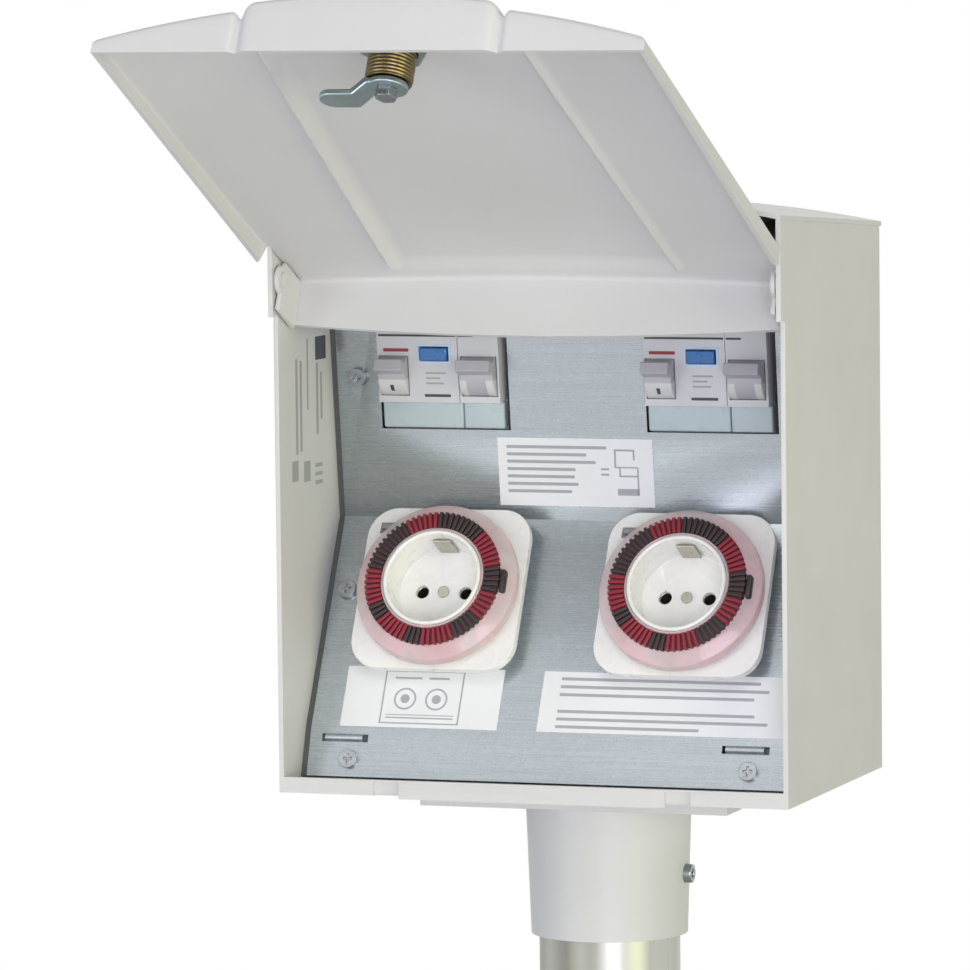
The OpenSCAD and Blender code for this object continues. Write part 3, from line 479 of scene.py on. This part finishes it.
# The brackets' dark paint is painted shade for the gap between the plate and the left wall.
BRACKET_GAP_SHADE = powder_coat("bracket_gap_shade", linear(84, 88, 86), 0.5)
RUBBER = moulding("grommet_rubber", linear(40, 40, 40), 0.6)
CLEAR = tinted_clear("dial_pink_clear", linear(246, 236, 234), linear(246, 204, 210), 0.5)
PAPER = moulding("sticker_paper", linear(238, 240, 241), 0.5)
INK = moulding("sticker_grey", linear(168, 172, 176), 0.55)
DARK = moulding("dark_marks", linear(62, 64, 68), 0.5)
STRIPE = moulding("red_stripe", linear(150, 52, 62), 0.45)
PALE_BLUE = moulding("button_frame", linear(196, 218, 238), 0.4)
FAINT = moulding("wall_grey", linear(168, 170, 168), 0.55)


# Door
DOOR_W, DOOR_LOW, DOOR_TOP = 223.0, -1.5, 235.5
RIM_Y, DOOR_T = -0.6, 2.0
SIDE_LOW, SIDE_TOP = 6.0, 10.0
BOW_LOW, BOW_TOP = 16.0, 3.0
BAND_LOW, BAND_TOP, GROOVE_W = 100.0, 119.0, 5.0
BAND_RISE, GROOVE_DEEP, BAND_END = 2.5, 3.0, (16.0, 8.0)
BAND_EDGE, GROOVE_MID, GROOVE_SPREAD = (1.5, -6.0), 0.3, 1.7
END_SET, END_DEEP, END_FADE = 0.8, 1.8, (2.0, 14.0)
CORNER_R, END_R, FOLD_R = 3.0, 2.5, 4.0
NECK_X, NECK_Z = 107.3, 196.5
STRIP_REACH, STRIP_BOW = 10.5, 4.5
LOCK_Z = 30.0


def smoothstep(a, b, x):
    t = np.clip((x - a) / (b - a), 0, 1)
    return t * t * (3 - 2 * t)


def groove_shape(away):
    """A bell curve across a groove, 1 at its bottom."""
    return np.exp(-(((away - GROOVE_MID) / GROOVE_SPREAD) ** 2))


def door_depth(x, z):
    """Depth of the door's face in front of its rim: a parabola across, flatter towards the hinge,
    plus the raised band with a groove on each side, which fade out before the fold."""
    up = (z - DOOR_LOW) / (DOOR_TOP - DOOR_LOW)
    bow = BOW_LOW + (BOW_TOP - BOW_LOW) * up
    groove = (BAND_LOW + (BAND_TOP - BAND_LOW) * up) / 2 + GROOVE_W / 2
    fade = 1 - smoothstep(DOOR_TOP - BAND_END[0], DOOR_TOP - BAND_END[1], z)
    away = np.abs(x) - groove
    relief = BAND_RISE * smoothstep(*BAND_EDGE, away) - GROOVE_DEEP * groove_shape(away)
    side = SIDE_LOW + (SIDE_TOP - SIDE_LOW) * up
    return side + bow * (1 - (2 * x / DOOR_W) ** 2) + relief * fade


def end_notch(x, above):
    """How far the lower end wall is set in: a little beside the band and more in its grooves, fading
    up the face."""
    away = np.abs(x) - (BAND_LOW + GROOVE_W) / 2
    depth = END_SET * smoothstep(*BAND_EDGE[::-1], away) + END_DEEP * groove_shape(away)
    return depth * (1 - smoothstep(*END_FADE, above))


def door_skin(t):
    """One face of the door's pressed sheet, set in by t, as a grid of rows and columns. Columns run from
    rim to rim: up one side wall, round its corner, across the face and down the other wall. Rows run from
    the rim of the lower end wall, round its corner, up the face, round the fold and back along the top
    wall. Above the neck the columns are drawn in to the neck's width and the side walls are left out."""
    half, corner, end, fold = DOOR_W / 2 - t, CORNER_R - t, END_R - t, FOLD_R - t
    low, top, neck = DOOR_LOW + t, DOOR_TOP - t, NECK_Z - t
    wall, bend = 4, 6
    turn = np.linspace(0, np.pi / 2, bend)
    flat = np.linspace(half - corner, 0, 150)[1:]
    side_x = np.concatenate([np.full(wall, half), half - corner * (1 - np.cos(turn[1:])), flat])
    share = np.concatenate([np.linspace(0, 1, wall), np.ones(bend - 1 + len(flat))])
    rounding = corner * (1 - np.sin(turn[1:]))
    round_off = np.concatenate([np.full(wall, corner), rounding, np.zeros(len(flat))])
    x = np.concatenate([-side_x, side_x[-2::-1]])
    share, round_off = (np.concatenate([v, v[-2::-1]]) for v in (share, round_off))
    narrow = np.clip(x, -NECK_X, NECK_X)

    def face(at, z):
        return door_depth(at, z) - t

    def walled(z):
        return share * (face(x, z) - round_off)

    rising = np.linspace(0, 1, 5)[:-1]
    rows = [(x, np.minimum(walled(low), k * (face(x, low) - end)), low) for k in rising]
    for a in turn:
        z = low + end * (1 - math.cos(a))
        rows.append((x, np.minimum(walled(z), face(x, z) - end * (1 - math.sin(a))), z))
    rows += [(x, walled(z), z) for z in np.linspace(low + end, neck, 44)[1:]]
    rows += [(narrow, face(narrow, z), z) for z in np.linspace(neck, top - fold, 14)]
    for a in turn[1:]:
        depth = face(narrow, top) - fold * (1 - math.cos(a))
        rows.append((narrow, depth, top - fold * (1 - math.sin(a))))
    edge = RIM_Y - STRIP_REACH - STRIP_BOW * (1 - (2 * narrow / DOOR_W) ** 2)
    start = face(narrow, top) - fold
    rows += [(narrow, start + (edge - start) * k, top) for k in np.linspace(0, 1, 8)[1:]]
    return np.stack([
        np.stack([at, RIM_Y - depth, z + end_notch(at, z - low)], -1) for at, depth, z in rows
    ])


def closed_sheet(outer, inner):
    """Two grids of the same size joined along their edges."""
    rows, cols = outer.shape[:2]
    n = rows * cols
    at = np.arange(n).reshape(rows, cols)
    rim = np.concatenate([at[0, :-1], at[:-1, -1], at[-1, :0:-1], at[:0:-1, 0]])
    after = np.roll(rim, -1)
    strips = np.stack([rim, after, after + n, rim + n], -1)
    faces = grid_faces(rows, cols)
    faces += [tuple(i + n for i in reversed(f)) for f in grid_faces(rows, cols)]
    faces += [tuple(q) for q in strips.tolist()]
    return np.concatenate([outer.reshape(-1, 3), inner.reshape(-1, 3)]), faces


piece("door_sheet", place([closed_sheet(door_skin(0.0), door_skin(DOOR_T))], on_door), DOOR_COAT, "door",
      "door_paint", ("door_panel", "door_strip"), 50)


# Lock, drawn along its own axis: z runs into the cabinet from the door's outer face
LOCK_FRONT = RIM_Y - float(door_depth(np.array(0.0), LOCK_Z))
LOCK_LEN = -2.1 - LOCK_FRONT
HEAD_R, HEAD_T, BORE_R = 12.0, 4.4, 6.05
THREAD_R, THREAD_DEEP, THREAD_PITCH = 9.47, 0.32, 1.5


def on_lock(p):
    """Points about the lock's axis."""
    p = np.asarray(p, float)
    return on_door(np.stack([p[..., 0], LOCK_FRONT + p[..., 2], LOCK_Z - p[..., 1]], -1))


def lock_barrel():
    """The threaded barrel and its head turned as one closed profile: the outside rises and falls with
    the thread's pitch, the inside is the plug's bore."""
    z = np.linspace(-1.0, LOCK_LEN - 0.6, 160)
    thread = THREAD_R - THREAD_DEEP * np.abs(2 * ((z / THREAD_PITCH) % 1) - 1)
    head = [(HEAD_R - 0.6, -HEAD_T), (HEAD_R, 0.5 - HEAD_T), (HEAD_R, -1.9), (HEAD_R - 0.3, -1.4)]
    inside = [(9.0, LOCK_LEN), (BORE_R, LOCK_LEN), (BORE_R, -HEAD_T)]
    return lathe([*head, (9.2, -1.4), *zip(thread, z), *inside], 48)


piece("lock_barrel", place([lock_barrel()], on_lock), BRASS, "door", "lock_brass", ("lock_body",), 45)

for node, finish, slot, width in [
    ("lock_nut", PLATED, "lock_zinc", 0.8),
    ("lock_cam", CAM_ZINC, "lock_zinc", 0.5),
    ("cam_screw", PLATED, "fixings", 0.6),
    ("lock_plug", PLATED, "lock_zinc", 0.3),
]:
    rounded_copy(node, finish, slot, width)

# Cabinet, plate and fixings
for node, finish, slot, width in [
    ("cabinet_body", COAT, "cabinet_paint", 0.5),
    ("back_panel", COAT, "cabinet_paint", 0.5),
    ("roof", COAT, "cabinet_paint", 0.6),
    ("door_ear_left", DOOR_COAT, "door_paint", 0.5),
    ("door_ear_right", DOOR_COAT, "door_paint", 0.5),
    ("collar_flange", CAST, "cast_paint", 1.5),
    ("collar_sleeve", CAST, "cast_paint", 0.8),
    ("mounting_plate", ZINC_SHEET, "galvanised", 0.35),
    ("plate_screws", PLATED, "fixings", 0.9),
    ("collar_set_screw", PLATED, "fixings", 0.5),
    ("collar_bolts", PLATED, "fixings", 0.5),
]:
    rounded_copy(node, finish, slot, width)

# Breakers and timers
for side in ("left", "right"):
    for node, finish, slot, width in [
        ("rcd_", BREAKER, "breaker_plastic", 0.5),
        ("mcb_", BREAKER, "breaker_plastic", 0.5),
        ("test_button_", BLUE, "button_plastic", 0.5),
        ("timer_base_", WHITE, "timer_plastic", 0.3),
        ("socket_cup_", WHITE, "timer_plastic", 0.6),
        ("socket_contacts_", CONTACT, "contact_brass", 0.25),
        ("dial_", CLEAR, "dial_clear", 0.5),
        ("black_tappets_", BLACK, "tappet_black", 0.25),
        ("red_tappets_", RED, "tappet_red", 0.25),
        ("override_slide_", SLIDE, "slide_plastic", 0.5),
    ]:
        rounded_copy(node + side, finish, slot, width)

# Breaker details, in the upper part's frame from the middle of each group: x, along, width, height
GROUP_X, NOSE, SHOULDER = 58.5, 4.0, -5.0
TOGGLE_S, TOGGLE_OUT, DRUM_R = 61.5, -1.0, 9.4
RCD_TOGGLE_X, MCB_TOGGLE_X = -19.5, 18.0
TONE_SPLIT, MCB_MIDDLE = 60.6, 4.3
MARK_W, MARK_TURN, MARK_SUNK = 1.5, (20, 40), -0.1
COVER_TOP, COVER_R, PRINT_T, FAINT_T, FRAME_T = -0.4, 0.8, 0.06, 0.05, 0.3
COVERS = [(-26.9, 38.4, 35.6, 11.4), (9.1, 38.4, 17.8, 11.4)]
# The first two lines, across the top of the breaker noses, are a painted shadow of the open door's top
# strip; the third is print.
SHADOW_AND_PRINT_LINES = [(-25.9, 78.3, 34.4, 0.9), (9.5, 78.3, 6.6, 0.9), (-6.4, 52.6, 11.6, 1.2)]
RED_LINE = [(-24.0, 71.8, 11.3, 1.4)]
BUTTON_FRAME = [
    (-9.0, 66.9, 0.9, 8.2), (5.2, 66.9, 0.9, 8.2), (-8.1, 66.9, 13.3, 0.9), (-8.1, 74.2, 13.3, 0.9),
]
FAINT_LINES = [
    (-22, 82.6, 16, 1.1), (-22, 86.2, 11, 1.1), (12.6, 82.6, 10, 1.1), (12.6, 86.2, 7, 1.1),
    (-5.6, 62.4, 9, 0.8), (-5.6, 60.2, 6.5, 0.8), (-5.6, 58.0, 8, 0.8),
]


def drum_patch(x, w, angles, r):
    """A patch of a toggle drum's face: across the drum by x, round it by the angle below the normal."""
    across = np.linspace(x - w / 2, x + w / 2, 3)[None, :]
    a = np.radians(np.linspace(*angles, 8))[:, None]
    flat = np.zeros_like(across + a)
    along, out = TOGGLE_S - r * np.sin(a), TOGGLE_OUT + r * np.cos(a)
    return np.stack([across + flat, along + flat, out + flat], -1)


for side, name in ((-1, "left"), (1, "right")):
    shift = side * GROUP_X
    layers = soft_layers(SHOULDER, COVER_TOP, COVER_R)
    covers = [
        slab(rounded_rect(w, h, COVER_R, 3, (x + shift + w / 2, y + h / 2)), layers) for x, y, w, h in COVERS
    ]
    piece("terminal_covers_" + name, place(covers, on_upper), COVER, "cabinet", "breaker_plastic")
    for print_name, rows, thick, finish in [
        # Dark marks: painted shadow of the door's strip on the noses, and print.
        ("breaker_shadow_and_print_lines_", SHADOW_AND_PRINT_LINES, PRINT_T, DARK),
        ("breaker_stripe_", RED_LINE, PRINT_T, STRIPE),
        ("button_frame_", BUTTON_FRAME, FRAME_T, PALE_BLUE),
        ("breaker_print_", FAINT_LINES, FAINT_T, FAINT),
    ]:
        surface = place(marks(rows, NOSE, NOSE + thick, shift), on_upper)
        piece(print_name + name, surface, finish, "cabinet", "breaker_plastic")
    middle = (shift + MCB_TOGGLE_X) / 1000
    rcd = toggle_moulding("toggle_rcd_" + name, LEVER, DRUM, TONE_SPLIT)
    mcb = toggle_moulding("toggle_mcb_" + name, LEVER, DRUM, TONE_SPLIT, middle, MCB_MIDDLE / 1000)
    rounded_copy("toggle_rcd_" + name, rcd, "toggle_plastic", 0.7)
    rounded_copy("toggle_mcb_" + name, mcb, "toggle_plastic", 0.7)
    across = shift + RCD_TOGGLE_X
    skins = [drum_patch(across, MARK_W, MARK_TURN, DRUM_R + lift) for lift in (PRINT_T, MARK_SUNK)]
    surface = place([closed_sheet(*skins)], on_upper)
    piece("drum_mark_" + name, surface, DARK, "toggle_rcd_" + name, "toggle_plastic")


# Stickers: plain grey bars and a plain diagram, in each part's frame as x, along, width, height
STICKER_T, STICKER_TOP = 0.2, 0.24
RING_OUT, RING_IN, DOT_R, NEEDLE = 4.9, 4.1, 2.0, 0.02


def text_lines(x, top, widths, pitch, height):
    """Left-aligned bars from the top line down, each with its own width."""
    return [(x, top - k * pitch, w, height) for k, w in enumerate(widths)]


def ring_and_dot(x, along):
    """A flat ring with a dot at its middle."""
    low, high = STICKER_T, STICKER_TOP
    ring = lathe([(RING_OUT, low), (RING_OUT, high), (RING_IN, high), (RING_IN, low)], 36)
    dot = lathe([(DOT_R, low), (DOT_R, high), (NEEDLE, high)], 24)
    return [(points + [x, along, 0], faces) for points, faces in (ring, dot)]


upper_print = text_lines(-31.2, 30.5, [44, 35, 39, 30, 29.5, 31, 28], 3.15, 1.3) + [
    (16, 29.8, 9, 0.8), (16, 22.6, 0.8, 8), (24.2, 26, 0.8, 4), (16, 22.6, 10, 0.6), (18, 18.8, 8.4, 0.7),
    (25.8, 11, 0.7, 12), (18, 18.8, 0.7, 4), (17, 11, 9.5, 2.8), (10, 21.6, 3.6, 0.9), (10, 19.3, 3.6, 0.9),
]
framed = [
    (-75.5, 2.2, 35, 0.6), (-75.5, 25.4, 35, 0.6), (-75.5, 2.2, 0.7, 23.8), (-41.2, 2.2, 0.7, 23.8),
    (-73, 4.6, 30, 0.6), (-73, 6.0, 30, 0.4), (-71, 22.2, 12, 0.9), (-56, 22.2, 9, 0.9),
]
right_print = text_lines(2, 23.6, [86, 90, 84], 3.5, 1.3) + text_lines(2, 9.2, [85, 91, 62], 3.4, 1.3)
wall_print = [
    (19.5, 139, 2.6, 40), (24.5, 140, 2.6, 38), (33, 157, 1.8, 30), (44, 146, 2.6, 30), (49, 152, 2.2, 20),
    (14.5, 128, 7.5, 8.6), (28.5, 127, 7.5, 8.6),
    (42, 125, 8.5, 1.6), (42, 128.6, 8.5, 1.6), (42, 132.2, 8.5, 1.6),
]
wall_square = [(43.4, 177.2, 12.6, 9.8)]
dial_marks = ring_and_dot(-65.4, 13.4) + ring_and_dot(-51.6, 13.4)
for name, surfaces, frame_of, finish, slot in [
    ("upper_sticker_print", marks(upper_print, STICKER_T, STICKER_TOP), on_upper, INK, "sticker"),
    ("left_sticker_print", marks(framed, STICKER_T, STICKER_TOP) + dial_marks, on_tilted, INK, "sticker"),
    ("right_sticker_print", marks(right_print, STICKER_T, STICKER_TOP), on_tilted, INK, "sticker"),
    ("wall_print", marks(wall_print, 0.0, FAINT_T), on_left_wall, FAINT, "cabinet_paint"),
    ("wall_block", marks(wall_square, 0.0, FAINT_T), on_left_wall, DARK, "cabinet_paint"),
]:
    piece(name, place(surfaces, frame_of), finish, "cabinet", slot)

# Bed under the tappets, a dark red ring whose red is the dial ring's own tint and whose darkness is painted
# shade in the gaps between the tappets, and the pointer, on each dial
BED_T = 1.9
POINTER_X, POINTER_L, POINTER_W, POINTER_Q = 30.5, 10.0, 2.4, (19.0, 22.0)
for side, name in ((-1, "left"), (1, "right")):
    low, high = TAPPET_Q, TAPPET_Q + BED_T
    shade_bed = lathe([(TAPPET_IN, low), (TAPPET_OUT, low), (TAPPET_OUT, high), (TAPPET_IN, high)], 96)
    piece("tappet_shade_bed_" + name, place([shade_bed], on_timer(side)), TAPPET_GAP_SHADE, "dial_" + name, "tappet_red")
    outline = rounded_rect(POINTER_W, POINTER_L, 1.0, 3, (POINTER_X, 0))
    tick = slab(outline, soft_layers(*POINTER_Q, 0.5))
    piece("dial_pointer_" + name, place([tick], on_timer(side)), BLACK, "dial_" + name, "tappet_black")

# CAD nodes that keep their own shape
KEPT = {
    "post_tube": TUBE,
    "hinge_pins": DOOR_COAT,
    # The brackets' dark paint is painted shade in the gap beside the plate.
    "plate_brackets": BRACKET_GAP_SHADE,
    "din_rail": PLATED,
    "terminal_block": WHITE,
    "earth_stud": CONTACT,
    "cable_grommet": RUBBER,
    "plate_stickers": PAPER,
    "timer_housing_left": WHITE,
    "timer_housing_right": WHITE,
    "timer_motor_left": PLATED,
    "timer_motor_right": PLATED,
}
for node, finish in KEPT.items():
    nodes[node].data.materials.clear()
    nodes[node].data.materials.append(finish)


# Stage
AIM, ROOM_LIGHT = (0, -0.1, 0.62), 0.1


def soft_lamp(name, place_m, size, watts, colour=(1, 1, 1)):
    """A square soft light that looks at the cabinet."""
    data = bpy.data.lights.new(name, "AREA")
    data.size, data.energy, data.color = size, watts, colour
    lamp = bpy.data.objects.new(name, data)
    lamp.location = place_m
    lamp.rotation_euler = (Vector(AIM) - Vector(place_m)).to_track_quat("-Z", "Y").to_euler()
    scene.collection.objects.link(lamp)


def seen_directly(f):
    """1 for rays from the camera and for mirror and glass rays, which all meet the same background."""
    path = f.tree.nodes.new("ShaderNodeLightPath")
    camera, glossy, through = (
        Sock(f, path.outputs[k]) for k in ("Is Camera Ray", "Is Glossy Ray", "Is Transmission Ray")
    )
    return f.node("ShaderNodeMath", {"operation": "MINIMUM"}, {0: camera + glossy + through, 1: 1.0})


def studio_floor():
    """A pale floor that keeps the shadow round the post and runs out into the white background."""
    reach, clear_from, clear_to = 40.0, 0.5, 1.4
    mesh = bpy.data.meshes.new("studio_floor")
    square = np.array([[-1, -1, 0], [1, -1, 0], [1, 1, 0], [-1, 1, 0]], float) * reach
    mesh.from_pydata(square.tolist(), [], [(0, 1, 2, 3)])
    floor = bpy.data.objects.new("studio_floor", mesh)
    scene.collection.objects.link(floor)
    f = Finish("floor_pale")
    f.tree.nodes.remove(f.shader)
    pale = f.node("ShaderNodeBsdfDiffuse", {}, {"Color": (0.82, 0.82, 0.82, 1)})
    white = f.node("ShaderNodeEmission", {}, {"Color": (1, 1, 1, 1), "Strength": 1.0})
    far = f.node("ShaderNodeVectorMath", {"operation": "LENGTH"}, {0: f.coords()}, 1)
    ease = f.node(
        "ShaderNodeMapRange", {"interpolation_type": "SMOOTHSTEP"},
        {"Value": far, "From Min": clear_from, "From Max": clear_to, "To Min": 0.0, "To Max": 1.0},
    )
    mix = f.node("ShaderNodeMixShader", {}, {0: ease * seen_directly(f), 1: pale, 2: white})
    f.put(f.output.inputs[0], mix)
    mesh.materials.append(f.material)


def studio_world():
    """Even light from all round, with white where it is seen directly."""
    world = bpy.data.worlds.new("studio_world")
    world.use_nodes = True
    scene.world = world
    f = Nodes(world.node_tree)
    out = f.tree.nodes.new("ShaderNodeOutputWorld")
    light = f.node("ShaderNodeBackground", {}, {"Color": (1, 1, 1, 1), "Strength": ROOM_LIGHT})
    white = f.node("ShaderNodeBackground", {}, {"Color": (1, 1, 1, 1), "Strength": 1.0})
    mix = f.node("ShaderNodeMixShader", {}, {0: seen_directly(f), 1: light, 2: white})
    f.put(out.inputs[0], mix)


soft_lamp("front_light", (1.2, -3.0, 0.3), 1.6, 56, (0.885, 0.85, 1))
soft_lamp("left_light", (-1.9, -2.6, 0.8), 1.6, 22, (0.96, 0.99, 1))
soft_lamp("right_light", (3.0, -1.7, 0.7), 1.6, 36, (0.97, 1, 0.6))
soft_lamp("upper_light", (0.3, -2.2, 2.6), 1.6, 23)
soft_lamp("back_light", (0.4, 2.4, 2.8), 2.0, 30)
studio_floor()
studio_world()
